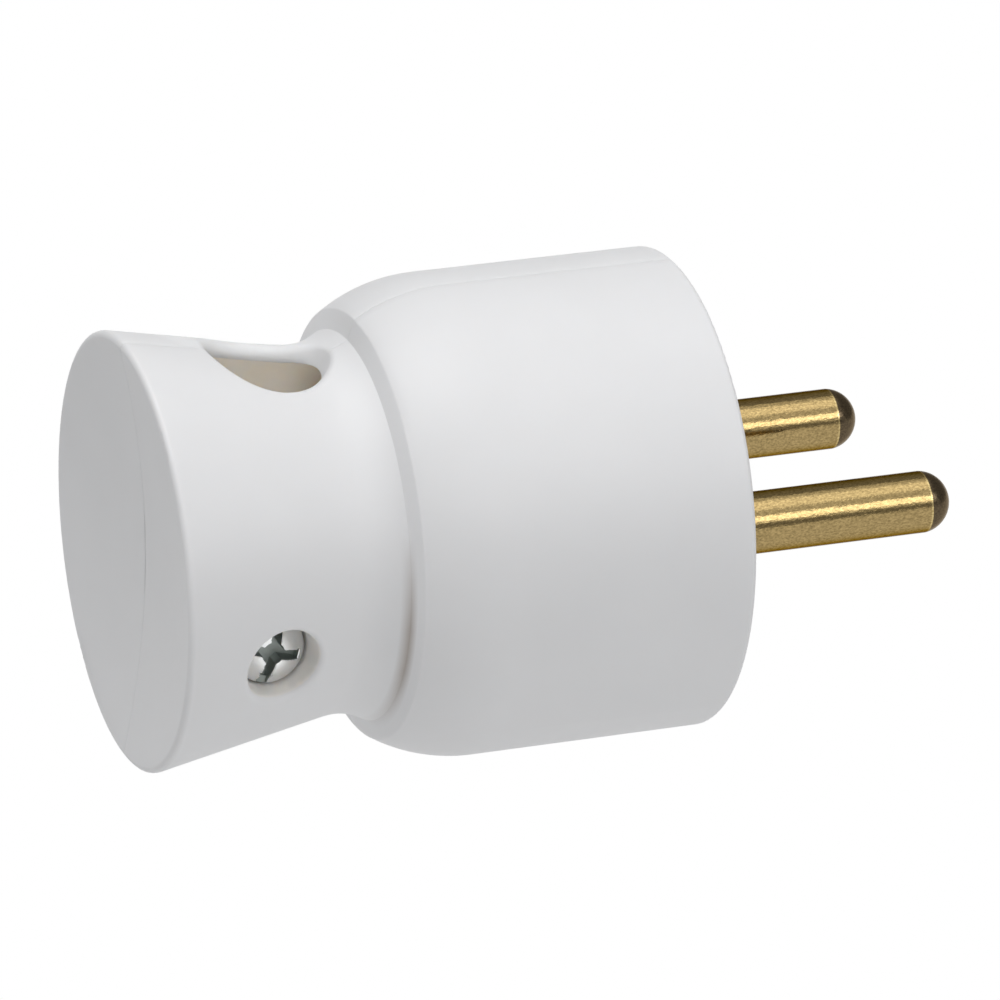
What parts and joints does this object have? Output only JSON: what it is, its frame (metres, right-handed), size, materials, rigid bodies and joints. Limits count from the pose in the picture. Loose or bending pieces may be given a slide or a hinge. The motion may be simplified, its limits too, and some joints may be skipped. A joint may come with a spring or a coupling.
{
  "type": "earthed mains plug with handle",
  "caption": "Earthed mains plug with round brass pins and an earth socket, a drum body in half shells, a waisted pull handle and a round side outlet for its cord.",
  "frame": {"origin": "centre of the mating face, midway between the pins", "axes": "+X along the pins out of the mating face, +Z towards the cord outlet in the handle, the closing screw is driven from -Y"},
  "size_m": [0.0637, 0.0374, 0.0374],
  "materials": {
    "housing": "moulded, satin gloss, light grey-white",
    "carrier": "moulded, matt, light grey-white",
    "pins": "turned, fine drawn grain",
    "contacts": "turned, plain",
    "screws": "bright zinc plating",
    "clamp": "moulded, matt, light grey-white"
  },
  "bodies": {
    "root": {"front_shell": "housing", "rear_shell": "housing", "pin_carrier": "carrier", "live_pin": "pins", "neutral_pin": "pins", "earth_contact": "contacts", "terminal_screws": "screws", "cord_clamp": "clamp", "cord_clamp_screws": "screws", "closing_screw": "screws", "closing_nut": "screws"}
  },
  "joints": []
}
